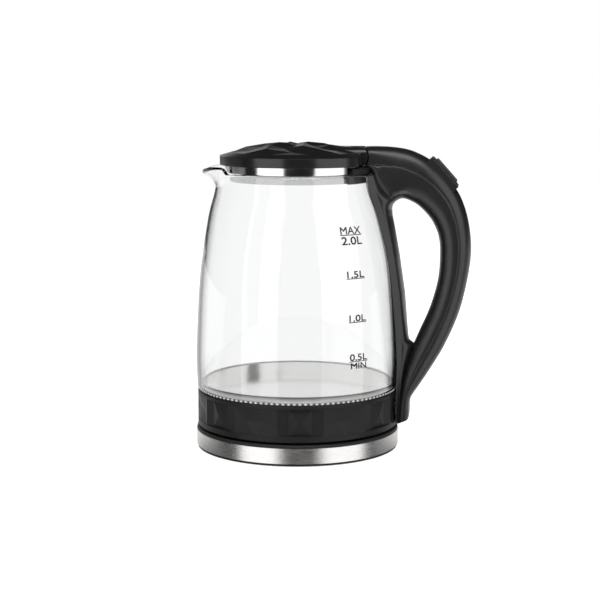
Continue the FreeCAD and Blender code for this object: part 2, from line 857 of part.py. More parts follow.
def handle_screws():
    head_end = band_inner - fit_gap
    head = along_x(screw_head_radius, head_end - screw_head_height, head_end, z_foot_screw)
    shank = along_x(screw_radius, head_end, foot_screw_end, z_foot_screw)
    foot_screw = head.fuse(shank).removeSplitter()
    return Part.makeCompound([foot_screw] + screws([(x_top_screw, 0)], z_top_screw, top_screw_length).Solids)


# Rim bracket and hinge pin

def rim_bracket():
    """A curved block on the rim of the glass with a tab that hooks inside the mouth."""
    saddle_block = ring(bracket_inner, bracket_outer, z_rim + bracket_gap, z_nose)
    tab_outer = bracket_inner + bracket_tab_thick
    tab = ring(bracket_inner, tab_outer, z_rim - bracket_tab_drop, z_rim + bracket_gap)
    return fused([saddle_block, tab]).common(wedge(bracket_half_angle, lid_radius, 0, z_nose))


def hinge_pin():
    return pin_along_y(hinge_pin_radius, hinge_pin_half_length, hinge_x, z_hinge)


# Lid

lid_screw_places = spread(lid_screw_count, lid_screw_ring, lid_screw_angle)


def dome_height(radius):
    return z_lid_shoulder + (z_lid_top - z_lid_shoulder) * (1 - (radius / lid_shoulder_radius) ** 2)


def lid_facets():
    """A low dome of flat triangles with every other corner of each ring raised."""
    rings = []
    for i, radius in enumerate(lid_facet_rings + (lid_shoulder_radius,)):
        corners = []
        for k, (x, y) in enumerate(spread(lid_facet_count, radius, 180.0 * (i % 2) / lid_facet_count)):
            raised = lid_facet_step * (-1) ** (k + i) if radius < lid_shoulder_radius else 0.0
            corners.append(V(x, y, dome_height(radius) + raised))
        rings.append(corners)
    centre = V(0, 0, dome_height(0))
    faces = []

    def triangle(a, b, c):
        faces.append(Part.Face(Part.makePolygon([a, b, c, a])))

    for k in range(lid_facet_count):
        triangle(centre, rings[0][k - 1], rings[0][k])
        for i, (inner, outer) in enumerate(zip(rings, rings[1:])):
            step = k if i % 2 else k - 1
            triangle(inner[k - 1], outer[step], inner[k])
            triangle(outer[step - 1], outer[step], inner[k - 1])
    faces.append(Part.Face(Part.makePolygon(rings[-1] + [rings[-1][0]])))
    shell = Part.Shell(faces)
    shell.sewShape()
    solid = Part.Solid(shell)
    if solid.Volume < 0:
        solid.reverse()
    return solid


def neck_block(gap):
    """The neck that carries the knuckles, rounded about the pin, grown by a gap at its front and flanks."""
    half = neck_half_width + gap
    front = hinge_x - neck_length - gap
    straight = box((front, hinge_x), (-half, half), (z_lid, z_handle_top))
    room = box((front, hinge_x + neck_barrel), (-half, half), (z_lid, z_handle_top))
    return fused([straight, pin_along_y(neck_barrel, half, hinge_x, z_hinge).common(room)])


def lug_sweep():
    """Where the handle's lug passes through the neck as the lid opens."""
    turn = math.radians(lid_open_angle)
    reach = 3 * lug_radius
    low = z_hinge - z_lid + hinge_end_gap
    high = lug_radius + hinge_end_gap
    back = (-high * math.sin(turn), high * math.cos(turn))
    tip = (back[0] + reach * math.cos(turn), back[1] + reach * math.sin(turn))
    outline = [(0, -low), (reach, -low), (reach, tip[1]), tip, back]
    points = [(hinge_x + x, z_hinge + z) for x, z in outline]
    edges = [line(start, end) for start, end in zip(points, points[1:] + points[:1])]
    half = lug_half_width + hinge_end_gap
    return slab(edges, half).fuse(pin_along_y(high, half, hinge_x, z_hinge))


def lid_cover():
    inner = lid_radius - lid_wall
    roof = z_lid_shoulder - lid_roof + collar_thick
    skin = lathe([(0, z_lid), (lid_radius, z_lid), (lid_radius, z_lid_edge),
                  (lid_shoulder_radius, z_lid_shoulder), (0, z_lid_shoulder)])
    hollow = lathe([(0, z_lid), (inner, z_lid), (inner, z_lid_edge - lid_roof), (lid_shoulder_radius, roof),
                    (0, z_lid_top - 2 * lid_roof)])
    behind = box((lid_rear, lid_radius), (-lid_radius, lid_radius), (z_lid, z_lid_top))
    room = box((-lid_radius, lid_rear - lid_wall), (-lid_radius, lid_radius), (z_lid, z_lid_top))
    shell = cut_all(fused([skin, lid_facets()]), [behind, hollow.common(room)])
    neck = neck_block(0.0)
    ridge = [e for e in neck.Edges if e.BoundBox.ZMin > z_handle_top - 1e-3 and e.BoundBox.YLength < 1e-3]
    neck = neck.makeFillet(neck_round, ridge)
    bosses = [disc(boss_radius, z_lid + lid_plate_thick, roof + cut_past, x, y) for x, y in lid_screw_places]
    holes = [disc(screw_radius, z_lid, z_lid + lid_screw_length, x, y) for x, y in lid_screw_places]
    pin = pin_along_y(hinge_pin_radius + hinge_running_gap, hinge_pin_half_length + hinge_end_gap,
                      hinge_x, z_hinge)
    return cut_all(fused([shell, neck] + bosses), holes + [pin, lug_sweep()])


def lid_inner_plate():
    outer = lid_radius - lid_wall - fit_gap
    plate = disc(outer, z_lid, z_lid + lid_plate_thick)
    rear = box((lid_rear - lid_wall - fit_gap, lid_radius), (-lid_radius, lid_radius), (z_lid, z_lid_top))
    holes = [disc(screw_radius, z_lid, z_lid_top, x, y) for x, y in lid_screw_places]
    heads = [disc(screw_head_radius, z_lid, z_lid + screw_head_height, x, y) for x, y in lid_screw_places]
    return cut_all(plate, [rear, neck_block(fit_gap)] + holes + heads)


def lid_collar():
    """A stepped cup of sheet steel: a drum under the lid and a plug inside the mouth of the jug."""
    thick = collar_thick
    z_floor = z_collar - plug_height
    drum = ring(collar_radius - thick, collar_radius, z_collar, z_lid)
    flange = ring(collar_radius - collar_flange, collar_radius, z_lid - thick, z_lid)
    step = ring(plug_radius - thick, collar_radius, z_collar, z_collar + thick)
    plug = ring(plug_radius - thick, plug_radius, z_floor, z_collar + thick)
    floor = disc(plug_radius, z_floor, z_floor + thick)
    clear = ring(plug_radius + fit_gap, lid_radius, z_floor, z_lid - thick)
    behind_pin = box((hinge_x, lid_radius), (-lid_radius, lid_radius), (z_lid - thick, z_lid))
    cup = fused([drum, flange, step, plug, floor])
    return cut_all(cup, [clear.common(wedge(plug_cut_half_angle, lid_radius, z_floor, z_lid)), behind_pin])


def lid_screws():
    return screws(lid_screw_places, z_lid, lid_screw_length)


# Switch on the handle

def switch_place():
    """The place of the switch on the handle's outer edge, and the slope of the edge there in degrees."""
    spline = curve(handle_edge).Curve
    at = spline.parameter(V(glass_belly_radius + switch_reach, 0, z_rim + switch_rise))
    along = spline.tangent(at)[0]
    return spline.value(at), math.degrees(math.atan2(-along.z, along.x))


def on_handle(shape):
    """Move a shape made flat at the origin to the switch's place, with its top facing out of the handle."""
    place, slope = switch_place()
    moved = shape.copy()
    moved.rotate(V(0, 0, 0), V(0, 1, 0), slope)
    moved.translate(place)
    return moved


def rounded_top(length, width, low, high, radius):
    block = box((-length / 2, length / 2), (-width / 2, width / 2), (low, high))
    return block.makeFillet(radius, [e for e in block.Edges if e.BoundBox.ZMin > high - 1e-3])


def switch_bezel():
    frame = rounded_top(bezel_length, bezel_width, -bezel_depth, bezel_rise, bezel_round)
    half_length = rocker_length / 2 + rocker_end_gap
    half_width = rocker_width / 2 + rocker_side_gap
    window = box((-half_length, half_length), (-half_width, half_width), (-bezel_depth, bezel_rise))
    return on_handle(frame.cut(window))


def switch_rocker():
    """The key with grooves along its face, on a stem that turns about the pin."""
    key = rounded_top(rocker_length, rocker_width, rocker_rise - rocker_thick, rocker_rise, rocker_round)
    hub = pin_along_y(rocker_hub_radius, rocker_hub_half_width, 0, -rocker_pivot_depth)
    stem = box((-rocker_hub_radius, rocker_hub_radius), (-rocker_hub_half_width, rocker_hub_half_width),
               (-rocker_pivot_depth, rocker_rise - rocker_thick))
    cuts = [pin_along_y(rocker_pin_radius + hinge_running_gap, rocker_hub_half_width, 0, -rocker_pivot_depth)]
    half = rocker_length / 2 - 2 * rocker_round
    for i in range(rocker_groove_count):
        y = rocker_groove_pitch * (i - (rocker_groove_count - 1) / 2)
        cuts.append(box((-half, half), (y - rocker_groove_width / 2, y + rocker_groove_width / 2),
                        (rocker_rise - rocker_groove_depth, rocker_rise)))
    return on_handle(cut_all(fused([key, stem, hub]), cuts))


def rocker_pin():
    return on_handle(pin_along_y(rocker_pin_radius, ear_outer, 0, -rocker_pivot_depth))


def steam_switch():
    body = box((-switch_body_length / 2, switch_body_length / 2), (-ear_outer, ear_outer),
               (z_switch_body - switch_body_height, z_switch_body))
    ears = []
    for low, high in ((ear_inner, ear_outer), (-ear_outer, -ear_inner)):
        ears.append(box((-rocker_hub_radius, rocker_hub_radius), (low, high), (z_switch_body, -bezel_depth)))
    bore = pin_along_y(rocker_pin_radius, ear_outer, 0, -rocker_pivot_depth)
    return on_handle(fused([body] + ears).cut(bore))


def steam_bimetal():
    low = z_switch_body - switch_body_height
    return on_handle(disc(steam_bimetal_radius, low - steam_bimetal_thick, low))


# Wires

def wire_route():
    place, slope = switch_place()
    along = V(math.cos(math.radians(slope)), 0, -math.sin(math.radians(slope)))
    outward = V(-along.z, 0, along.x)
    end = place + along * (switch_body_length / 2) + outward * (z_switch_body - switch_body_height / 2)
    lead = end + along * wire_lead
    route = [(controller_radius - terminal_tab[0], z_wire), (glass_belly_radius + wire_foot_reach, z_wire)]
    route += placed(wire_lower, z_body) + placed(wire_middle, z_middle) + placed(wire_upper, z_rim)
    return [V(x, 0, z) for x, z in route] + [lead, end]


def wires(radius):
    """Two tubes side by side along straight runs joined by arcs."""
    route = wire_route()
    edges = []
    start = route[0]
    for before, at, after in zip(route, route[1:], route[2:]):
        back = (before - at).normalize()
        ahead = (after - at).normalize()
        half_turn = (math.pi - back.getAngle(ahead)) / 2
        room = wire_bend_share * min(before.distanceToPoint(at), at.distanceToPoint(after))
        trim = min(room, wire_bend * math.tan(half_turn))
        bend = trim / math.tan(half_turn)
        middle = (back + ahead).normalize() * (bend / math.cos(half_turn) - bend)
        edges.append(Part.makeLine(start, at + back * trim))
        edges.append(Part.Arc(at + back * trim, at + middle, at + ahead * trim).toShape())
        start = at + ahead * trim
    edges.append(Part.makeLine(start, route[-1]))
    path = Part.Wire(edges)
    section = Part.Wire(Part.makeCircle(radius, route[0], V(1, 0, 0)))
    tube = path.makePipeShell([section], True, False)
    pair = []
    for side in (1, -1):
        one = tube.copy()
        one.translate(V(0, side * wire_spread, 0))
        pair.append(one)
    return pair


def wiring_harness():
    return Part.makeCompound(wires(wire_radius))


parts = {
    "rubber_foot_ring": rubber_foot_ring,
    "base_bottom_plate": base_bottom_plate,
    "base_skirt": base_skirt,
    "base_top_cover": base_top_cover,
    "base_connector": base_connector,
    "base_contacts": base_contacts,
    "base_screws": base_screws,
    "cord_inlet_bush": cord_inlet_bush,
    "coupler_socket": coupler_socket,
    "coupler_contacts": coupler_contacts,
    "body_band": body_band,
    "bottom_cover": bottom_cover,
    "bottom_screws": bottom_screws,
    "jug_seal": jug_seal,
    "heater_plate": heater_plate,
    "heat_diffuser": heat_diffuser,
    "heating_element": heating_element,
    "thermostat_controller": thermostat_controller,
    "thermostat_discs": thermostat_discs,
    "controller_terminals": controller_terminals,
    "glass_jug": glass_jug,
    "handle_inner": handle_inner,
    "handle_outer": handle_outer,
    "handle_screws": handle_screws,
    "rim_bracket": rim_bracket,
    "hinge_pin": hinge_pin,
    "lid_cover": lid_cover,
    "lid_inner_plate": lid_inner_plate,
    "lid_collar": lid_collar,
    "lid_screws": lid_screws,
    "switch_bezel": switch_bezel,
    "switch_rocker": switch_rocker,
    "rocker_pin": rocker_pin,
    "steam_switch": steam_switch,
    "steam_bimetal": steam_bimetal,
    "wiring_harness": wiring_harness,
}

os.makedirs("parts", exist_ok=True)
for name, make in parts.items():
    shape = make()
    print(name, len(shape.Solids), round(shape.Volume, 1), shape.isValid())
    shape.exportStep("parts/" + name + ".step")
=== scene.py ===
"""Looks of a glass electric kettle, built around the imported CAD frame."""
import json
import math

import bmesh
import bpy
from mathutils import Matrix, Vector

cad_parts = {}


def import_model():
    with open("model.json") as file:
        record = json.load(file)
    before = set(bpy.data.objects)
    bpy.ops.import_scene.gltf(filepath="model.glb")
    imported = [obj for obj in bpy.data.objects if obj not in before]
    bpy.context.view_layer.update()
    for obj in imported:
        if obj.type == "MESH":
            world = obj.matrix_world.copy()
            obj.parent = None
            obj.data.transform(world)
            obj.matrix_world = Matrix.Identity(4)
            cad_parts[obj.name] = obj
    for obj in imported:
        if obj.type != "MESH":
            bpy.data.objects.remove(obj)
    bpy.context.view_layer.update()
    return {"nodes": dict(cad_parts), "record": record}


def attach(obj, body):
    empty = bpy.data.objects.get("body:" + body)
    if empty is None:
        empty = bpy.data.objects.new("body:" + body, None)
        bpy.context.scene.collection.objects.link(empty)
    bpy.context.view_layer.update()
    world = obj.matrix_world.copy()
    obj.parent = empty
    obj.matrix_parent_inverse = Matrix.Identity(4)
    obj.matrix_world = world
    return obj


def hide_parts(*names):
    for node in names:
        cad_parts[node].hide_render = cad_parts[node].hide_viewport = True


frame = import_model()
MM = 0.001

# Sizes in millimetres that the looks share with the CAD
z_glass = 48.2
glass_height = 165.0
glass_wall = 3.5
glass_gap = 0.8
z_lid = 219.5
nose_hollow = 9.66
lug_radius = 6.4
lug_half_width = 6.0
lug_root = 4.0
hinge_joint = next(j for j in frame["record"]["behaviour"]["joints"] if j["name"] == "lid_hinge")
hinge = (hinge_joint["pos_m"][0] / MM, hinge_joint["pos_m"][2] / MM)

# Outline of the glass as (radius, rise), and how finely it is followed
glass_profile = [(78.3, 0.0), (78.7, 32.0), (75.0, 91.5), (67.2, 129.0), (60.4, 150.0), (57.0, 165.0)]
glass_steps = 400

# The spout: a long lean and a short beak, each as (reach, depth below the rim, power)
spout_lean = (4.8, 61.0, 0.8)
spout_beak = (13.4, 10.5, 1.4)
spout_half_angle = math.radians(40.0)

# Cheeks beside the spout: angles from its tip where they are full, begin to fall and end
spout_cheek_rise = 5.0
spout_cheek_angles = [math.radians(a) for a in (20.0, 25.0, 31.0)]

# Camera in millimetres, read from the ellipses of the base and the rim in the photo
camera_turn = math.radians(6.4)
camera_distance = 1182.0
camera_height = 285.0
camera_pitch = math.radians(8.23)
camera_lens = 91.9
camera_sensor = 36.0
camera_shift = 0.0043


# Curves

def smooth(points, t):
    """A point on the Catmull-Rom curve through the points, with t from 0 to 1."""
    last = len(points) - 1
    i = min(int(t * last), last - 1)
    u = t * last - i
    a, b, c, d = (Vector(points[max(0, min(last, k))]) for k in (i - 1, i, i + 1, i + 2))
    bend = (2 * a - 5 * b + 4 * c - d) * u ** 2 + (3 * b - a - 3 * c + d) * u ** 3
    return 0.5 * (2 * b + (c - a) * u + bend)


def value_at(points, x):
    """Straight interpolation in a list of (x, value) pairs sorted by x."""
    if x <= points[0][0]:
        return points[0][1]
    for (x0, v0), (x1, v1) in zip(points, points[1:]):
        if x <= x1:
            return v0 + (v1 - v0) * (x - x0) / (x1 - x0)
    return points[-1][1]


glass_table = []
for step in range(glass_steps + 1):
    radius, rise = smooth(glass_profile, step / glass_steps)
    glass_table.append((rise, radius))


def off_spout(angle):
    """How far an angle round Z lies from the tip of the spout."""
    return abs(angle % (2 * math.pi) - math.pi)


def glass_radius(z, angle=0.0):
    """Outer radius of the jug at a height and an angle round Z."""
    rise = max(0.0, min(glass_height, z - z_glass))
    radius = value_at(glass_table, rise)
    off = off_spout(angle)
    if off < spout_half_angle:
        drop = glass_height - rise
        fade = math.cos(off / spout_half_angle * math.pi / 2) ** 2
        for most, depth, power in (spout_lean, spout_beak):
            radius += fade * most * max(0.0, 1 - drop / depth) ** power
    return radius


def cheek_rise(angle):
    """How far the rim stands up beside the spout: nothing at its tip, then a cheek on each side."""
    full, fall, end = spout_cheek_angles
    off = off_spout(angle)
    if off < full:
        return spout_cheek_rise * math.sin(off / full * math.pi / 2)
    if off < fall:
        return spout_cheek_rise
    if off < end:
        return spout_cheek_rise * (1 + math.cos((off - fall) / (end - fall) * math.pi)) / 2
    return 0.0


# Meshes

def mesh_object(name, verts, faces, flat=False):
    """A mesh in metres from points in millimetres."""
    mesh = bpy.data.meshes.new(name)
    mesh.from_pydata([Vector(v) * MM for v in verts], [], faces)
    work = bmesh.new()
    work.from_mesh(mesh)
    bmesh.ops.recalc_face_normals(work, faces=work.faces)
    work.to_mesh(mesh)
    work.free()
    for polygon in mesh.polygons:
        polygon.use_smooth = not flat
    piece = bpy.data.objects.new(name, mesh)
    bpy.context.scene.collection.objects.link(piece)
    return piece


def lofted(rings, closed=True):
    """Points and quads of a skin over rings with the same number of points each."""
    count = len(rings[0])
    verts = [point for ring in rings for point in ring]
    faces = []
    for i in range(len(rings) - 1):
        for j in range(count if closed else count - 1):
            k = (j + 1) % count
            faces.append((i * count + j, i * count + k, (i + 1) * count + k, (i + 1) * count + j))
    return verts, faces


def cylinder_y(radius, half_width, x, z, parts=40):
    """A closed cylinder along Y."""
    turns = [2 * math.pi * k / parts for k in range(parts)]
    rings = []
    for y in (-half_width, half_width):
        rings.append([(x + radius * math.cos(a), y, z + radius * math.sin(a)) for a in turns])
    verts, faces = lofted(rings)
    faces += [tuple(range(parts)), tuple(range(2 * parts - 1, parts - 1, -1))]
    return verts, faces


def block(x_range, y_range, z_range):
    """A box between two values on each axis."""
    verts = [(x, y, z) for x in x_range for y in y_range for z in z_range]
    faces = [(0, 1, 3, 2), (4, 6, 7, 5), (0, 4, 5, 1), (2, 3, 7, 6), (0, 2, 6, 4), (1, 5, 7, 3)]
    return verts, faces


def joined(shapes):
    """Several shapes as one list of points and one of faces."""
    verts, faces = [], []
    for more_verts, more_faces in shapes:
        shift = len(verts)
        verts += more_verts
        faces += [tuple(k + shift for k in face) for face in more_faces]
    return verts, faces


def glass_jug(around=192, levels=90, rim_steps=12):
    """The jug as one closed skin: up the outside, over a rounded rim and down the inside."""
    angles = [2 * math.pi * j / around for j in range(around)]
    top = z_glass + glass_height
    round_off = glass_wall / 2
    rings = []

    def ring(z, inset):
        share = max(0.0, 1 - (top - z) / spout_beak[1])
        radii = [glass_radius(z, a) - inset for a in angles]
        heights = [z + share * cheek_rise(a) for a in angles]
        rings.append([(r * math.cos(a), r * math.sin(a), h) for r, a, h in zip(radii, angles, heights)])

    for i in range(levels):
        ring(z_glass + (glass_height - round_off) * i / (levels - 1), 0.0)
    for i in range(1, rim_steps):
        turn = math.pi * i / rim_steps
        ring(top - round_off + round_off * math.sin(turn), round_off * (1 - math.cos(turn)))
    for i in range(levels):
        ring(top - round_off - (glass_height - round_off) * i / (levels - 1), glass_wall)
    verts, faces = lofted(rings)
    inner = (len(rings) - 1) * around
    faces += [(inner + j, inner + (j + 1) % around, (j + 1) % around, j) for j in range(around)]
    jug = mesh_object("jug_of_glass", verts, faces)
    # All but the outside takes the second material
    first_inside = levels * around
    for polygon in jug.data.polygons:
        polygon.material_index = 1 if polygon.index >= first_inside else 0
    return jug


# The handle: sections between its outer edge and the finger hole, as (X, Z) pairs matched one to one
grip_outer = [
    (52.3, 233.6), (60.0, 233.8), (69.0, 233.6), (77.0, 232.9), (84.0, 231.7), (91.5, 229.2), (101.5, 223.9),
    (111.0, 215.4), (119.5, 205.0), (126.2, 194.0), (131.5, 177.5), (134.0, 156.5), (131.8, 134.0),
    (125.5, 107.0), (115.0, 81.7), (104.0, 62.5), (95.6, 49.4), (90.0, 41.0), (88.5, 36.0), (88.2, 28.0),
    (87.6, 23.5)]
grip_inner = [
    (51.0, 218.2), (58.4, 212.0), (61.4, 199.0), (70.0, 188.0), (74.8, 191.2), (81.5, 194.2), (90.5, 190.8),
    (96.6, 186.0), (101.5, 180.6), (105.2, 175.0), (108.8, 166.0), (110.2, 154.0), (109.0, 133.0),
    (103.0, 110.5), (94.4, 90.5), (88.6, 76.0), (84.5, 62.0), (82.0, 50.0), (80.4, 40.0), (79.6, 30.0),
    (79.4, 20.0)]

# Along the grip, as (share of the way from nose to foot, value). The parting line runs at a share of the
# section's depth, from -1 at the finger hole to 1 at the outer edge.
grip_half_width = [(0.0, 15.0), (0.25, 15.0), (0.5, 14.6), (0.7, 14.0), (0.85, 13.4), (1.0, 12.6)]
grip_squareness = [(0.0, 3.4), (0.2, 2.9), (0.4, 2.35), (0.7, 2.25), (0.85, 2.6), (1.0, 3.6)]
parting_depth = [
    (0.0, -0.7), (0.05, -0.25), (0.1, 0.226), (0.15, 0.421), (0.2, 0.358), (0.25, 0.246), (0.3, 0.24),
    (0.35, 0.3), (0.4, 0.33), (0.6, 0.2), (1.0, -0.2)]
parting_groove = [(0.0, 0.45), (0.38, 0.4), (0.5, 0.12), (1.0, 0.1)]
parting_lip = 0.035

# Up the spine, as (Z, value): its outer face, what the ends of the finger hole add to it, and its width
spine_outer = [
    (20.0, 81.6), (40.0, 82.6), (55.0, 84.2), (88.0, 86.7), (96.0, 85.9), (121.0, 83.8), (150.0, 79.4),
    (170.0, 75.8), (185.8, 72.6), (192.0, 71.0), (200.0, 67.5), (213.0, 61.5)]
spine_fillets = [
    (55.0, 0.0), (66.0, 2.0), (76.0, 4.4), (80.5, 5.3), (82.0, 4.6), (84.0, 1.2), (88.0, 0.0),
    (181.0, 0.0), (186.5, 0.8), (189.5, 2.3), (192.0, 5.2), (194.0, 6.9), (200.0, 0.0)]
spine_half_width = [
    (20.0, 12.8), (60.0, 13.6), (90.0, 17.0), (118.0, 20.5), (160.0, 22.0), (200.0, 22.0), (213.0, 18.0)]
spine_foot_radius = 78.0
spine_flank_slope = 2.5
spine_crease_share = 0.5
spine_flank_stops = (0.12, 0.88)


def grip_rings(side, stations=150, columns=16):
    """Sections of one shell, cut at the parting line: side 1 is the outer shell and side -1 the inner."""
    rings = []
    for i in range(stations):
        t = i / (stations - 1)
        outer = smooth(grip_outer, t)
        inner = smooth(grip_inner, t)
        centre = (outer + inner) / 2
        half = (outer - inner) / 2
        power = 2 / value_at(grip_squareness, t)
        width = value_at(grip_half_width, t)
        split = value_at(parting_depth, t)
        part = math.acos(math.copysign(abs(split) ** (1 / power), split))
        lip = min(parting_lip, (math.pi - part) / 2)
        start, end = (0.0, part - lip) if side > 0 else (math.pi, part + lip)
        turns = [start + (end - start) * j / columns for j in range(columns + 1)]
        turns.append(part)
        ring = []
        for j, turn in enumerate(turns):
            depth = math.copysign(abs(math.cos(turn)) ** power, math.cos(turn))
            across = abs(math.sin(turn)) ** power
            if j == len(turns) - 1:
                across *= 1 - value_at(parting_groove, t) / width
            place = centre + half * depth
            ring.append((place.x, across * width, place.y))
        mirrored = [(x, -y, z) for x, y, z in reversed(ring)]
        rings.append(mirrored[:-1] + ring)
    return rings


def hollow_nose(point):
    """Keep a point of the nose clear of the lid's neck as it swings."""
    x, y, z = point
    rise = z - hinge[1]
    if abs(rise) < nose_hollow:
        x = max(x, hinge[0] + math.sqrt(nose_hollow ** 2 - rise ** 2))
    return (x, y, z)


def grip_shell(side):
    """One shell of the grip, closed along the parting line and at both ends."""
    rings = grip_rings(side)
    rings = [[hollow_nose(p) for p in ring] for ring in rings]
    verts, faces = lofted(rings, closed=False)
    count = len(rings[0])
    for base in (0, (len(rings) - 1) * count):
        for j in range(count // 2):
            faces.append((base + j, base + j + 1, base + count - 2 - j, base + count - 1 - j))
    for i in range(len(rings) - 1):
        a, b = i * count, (i + 1) * count
        faces.append((a, b, b + count - 1, a + count - 1))
    return verts, faces


def handle_outer():
    """The upper shell with the arm and the lug that hold the lid's hinge."""
    arm = block((hinge[0], hinge[0] + nose_hollow + lug_root), (-lug_half_width, lug_half_width),
                (z_lid, hinge[1] + lug_radius))
    lug = cylinder_y(lug_radius, lug_half_width, *hinge)
    return mesh_object("handle_top_shell", *joined([grip_shell(1), arm, lug]))


def spine(levels=160, across=28):
    """The strip of the handle that lies along the glass, from the nose down to the foot."""
    low, high = spine_outer[0][0], spine_outer[-1][0]
    rings = []
    for i in range(levels):
        z = low + (high - low) * i / (levels - 1)
        half = value_at(spine_half_width, z)
        near = max(glass_radius(z) + glass_gap, spine_foot_radius if z < z_glass else 0.0)
        plain = value_at(spine_outer, z)
        far = plain + value_at(spine_fillets, z)
        ring = []
        for j in range(across + 1):
            y = -half + 2 * half * j / across
            ring.append((math.sqrt(near ** 2 - y ** 2), y, z))
        back = math.sqrt(near ** 2 - half ** 2)
        crease = back + (plain - back) * spine_crease_share
        core = half - spine_flank_slope
        flank = [(back + (crease - back) * s, half + (core - half) * s) for s in spine_flank_stops]
        ring += [(x, y, z) for x, y in flank]
        for j in range(across + 1):
            turn = math.pi * j / across
            ring.append((crease + (far - crease) * math.sin(turn), core * math.cos(turn), z))
        ring += [(x, -y, z) for x, y in reversed(flank)]
        rings.append(ring)
    verts, faces = lofted(rings)
    count = len(rings[0])
    faces += [tuple(range(count)), tuple(range((levels - 1) * count, levels * count))]
    return verts, faces


def handle_inner():
    """The lower shell with the spine along the glass."""
    return mesh_object("handle_under_shell", *joined([grip_shell(-1), spine()]))


# Printed volume marks, as (text, height of its lower edge, letter height, width, line under it)
marks = [
    ("MAX", 171.4, 5.2, 18.4, True), ("2.0L", 163.7, 5.7, 18.4, False), ("1.5L", 139.6, 4.7, 15.4, True),
    ("1.0L", 107.4, 4.7, 15.0, True), ("0.5L", 78.2, 4.9, 15.6, True), ("MIN", 72.2, 4.3, 14.0, False)]
mark_turn = math.radians(35.2)
mark_angle = camera_turn + mark_turn - math.pi / 2
print_lift = 0.2
letter_weight = 0.2
underline_drops = (1.0, 0.35)
underline_past = 0.6
underline_parts = 12


def bolder(points, faces):
    """Move the outline of a flat shape outwards by the letters' weight."""
    sides = set()
    for face in faces:
        sides.update(zip(face, face[1:] + face[:1]))
    push = {}
    for a, b in sides:
        along = Vector(points[b]) - Vector(points[a])
        if (b, a) in sides or along.length == 0:
            continue
        outward = Vector((along.y, -along.x)).normalized()
        for k in (a, b):
            push[k] = push.get(k, Vector((0, 0))) + outward
    moved = []
    for k, point in enumerate(points):
        shift = push.get(k, Vector((0, 0))).normalized() * letter_weight
        moved.append(tuple(Vector(point) + shift))
    return moved


def text_points(text, height, width):
    """A word as a flat mesh centred on X = 0 with its lower edge on Y = 0, in millimetres."""
    curve = bpy.data.curves.new("word", "FONT")
    curve.body = text
    word = bpy.data.objects.new("word", curve)
    bpy.context.scene.collection.objects.link(word)
    bpy.context.view_layer.update()
    mesh = bpy.data.meshes.new_from_object(word)
    points = [v.co.copy() for v in mesh.vertices]
    faces = [tuple(p.vertices) for p in mesh.polygons]
    bpy.data.objects.remove(word)
    bpy.data.curves.remove(curve)
    bpy.data.meshes.remove(mesh)
    low_x = min(p.x for p in points)
    high_x = max(p.x for p in points)
    low_y = min(p.y for p in points)
    high_y = max(p.y for p in points)
    flat = []
    for p in points:
        x = ((p.x - low_x) / (high_x - low_x) - 0.5) * width
        flat.append((x, (p.y - low_y) / (high_y - low_y) * height))
    return bolder(flat, faces), faces


def on_glass(x, z):
    """A point of the print, by its way round the glass and its height."""
    radius = glass_radius(z) + print_lift
    angle = mark_angle + x / radius
    return (radius * math.cos(angle), radius * math.sin(angle), z)


def underline(low, width):
    """The line under a mark."""
    half = width / 2 + underline_past
    steps = [-half + 2 * half * k / underline_parts for k in range(underline_parts + 1)]
    return lofted([[on_glass(x, low - drop) for x in steps] for drop in underline_drops], closed=False)


def volume_marks():
    """All words and lines of the scale as one printed piece."""
    shapes = []
    for text, low, height, width, underlined in marks:
        flat, faces = text_points(text, height, width)
        shapes.append(([on_glass(x, low + y) for x, y in flat], faces))
        if underlined:
            shapes.append(underline(low, width))
    return mesh_object("volume_marks", *joined(shapes), flat=True)


# Nodes that the materials share

def grey(value):
    """A colour without a hue."""
    return (value, value, value)


def material(name):
    """A new material with its nodes and links."""
    made = bpy.data.materials.new(name)
    made.use_nodes = True
    return made, made.node_tree.nodes, made.node_tree.links


def add(nodes, kind, settings=(), inputs=()):
    """A node with its settings and the values of its sockets."""
    node = nodes.new(kind)
    for key, value in dict(settings).items():
        setattr(node, key, value)
    for key, value in dict(inputs).items():
        node.inputs[key].default_value = value
    return node


def mapped(nodes, links, value, source, target=(0.0, 1.0), curve="LINEAR"):
    """A value carried from one range to another and held at its ends."""
    ends = {"From Min": source[0], "From Max": source[1], "To Min": target[0], "To Max": target[1]}
    node = add(nodes, "ShaderNodeMapRange", {"interpolation_type": curve}, ends)
    links.new(value, node.inputs["Value"])
    return node.outputs["Result"]


def maths(nodes, links, operation, first, second=None):
    """The outcome of one operation on linked values."""
    node = add(nodes, "ShaderNodeMath", {"operation": operation})
    links.new(first, node.inputs[0])
    if second is not None:
        links.new(second, node.inputs[1])
    return node.outputs[0]


def noise(nodes, links, scale, detail, stretch=(1, 1, 1)):
    """Noise in object space, stretched along the axes."""
    place = add(nodes, "ShaderNodeTexCoord")
    mapping = add(nodes, "ShaderNodeMapping", inputs={"Scale": stretch})
    grain = add(nodes, "ShaderNodeTexNoise", inputs={"Scale": scale, "Detail": detail})
    links.new(place.outputs["Object"], mapping.inputs["Vector"])
    links.new(mapping.outputs["Vector"], grain.inputs["Vector"])
    return grain.outputs["Fac"]


# Sockets of a mix node by number: its two values, its two colours, and its mixed colour
mix_values = (2, 3)
mix_colours = (6, 7)
mixed_colour = 2


def tinted(nodes, links, share, dark, light, socket):
    """Colour a socket between two colours."""
    mix = add(nodes, "ShaderNodeMix", {"data_type": "RGBA"})
    for number, colour in zip(mix_colours, (dark, light)):
        mix.inputs[number].default_value = (*colour, 1)
    links.new(share, mix.inputs["Factor"])
    links.new(mix.outputs[mixed_colour], socket)


# The range that most values of a noise fill, and the one in which a face passes from upright to level
noise_range = (0.3, 0.7)
level_range = (0.3, 0.7)


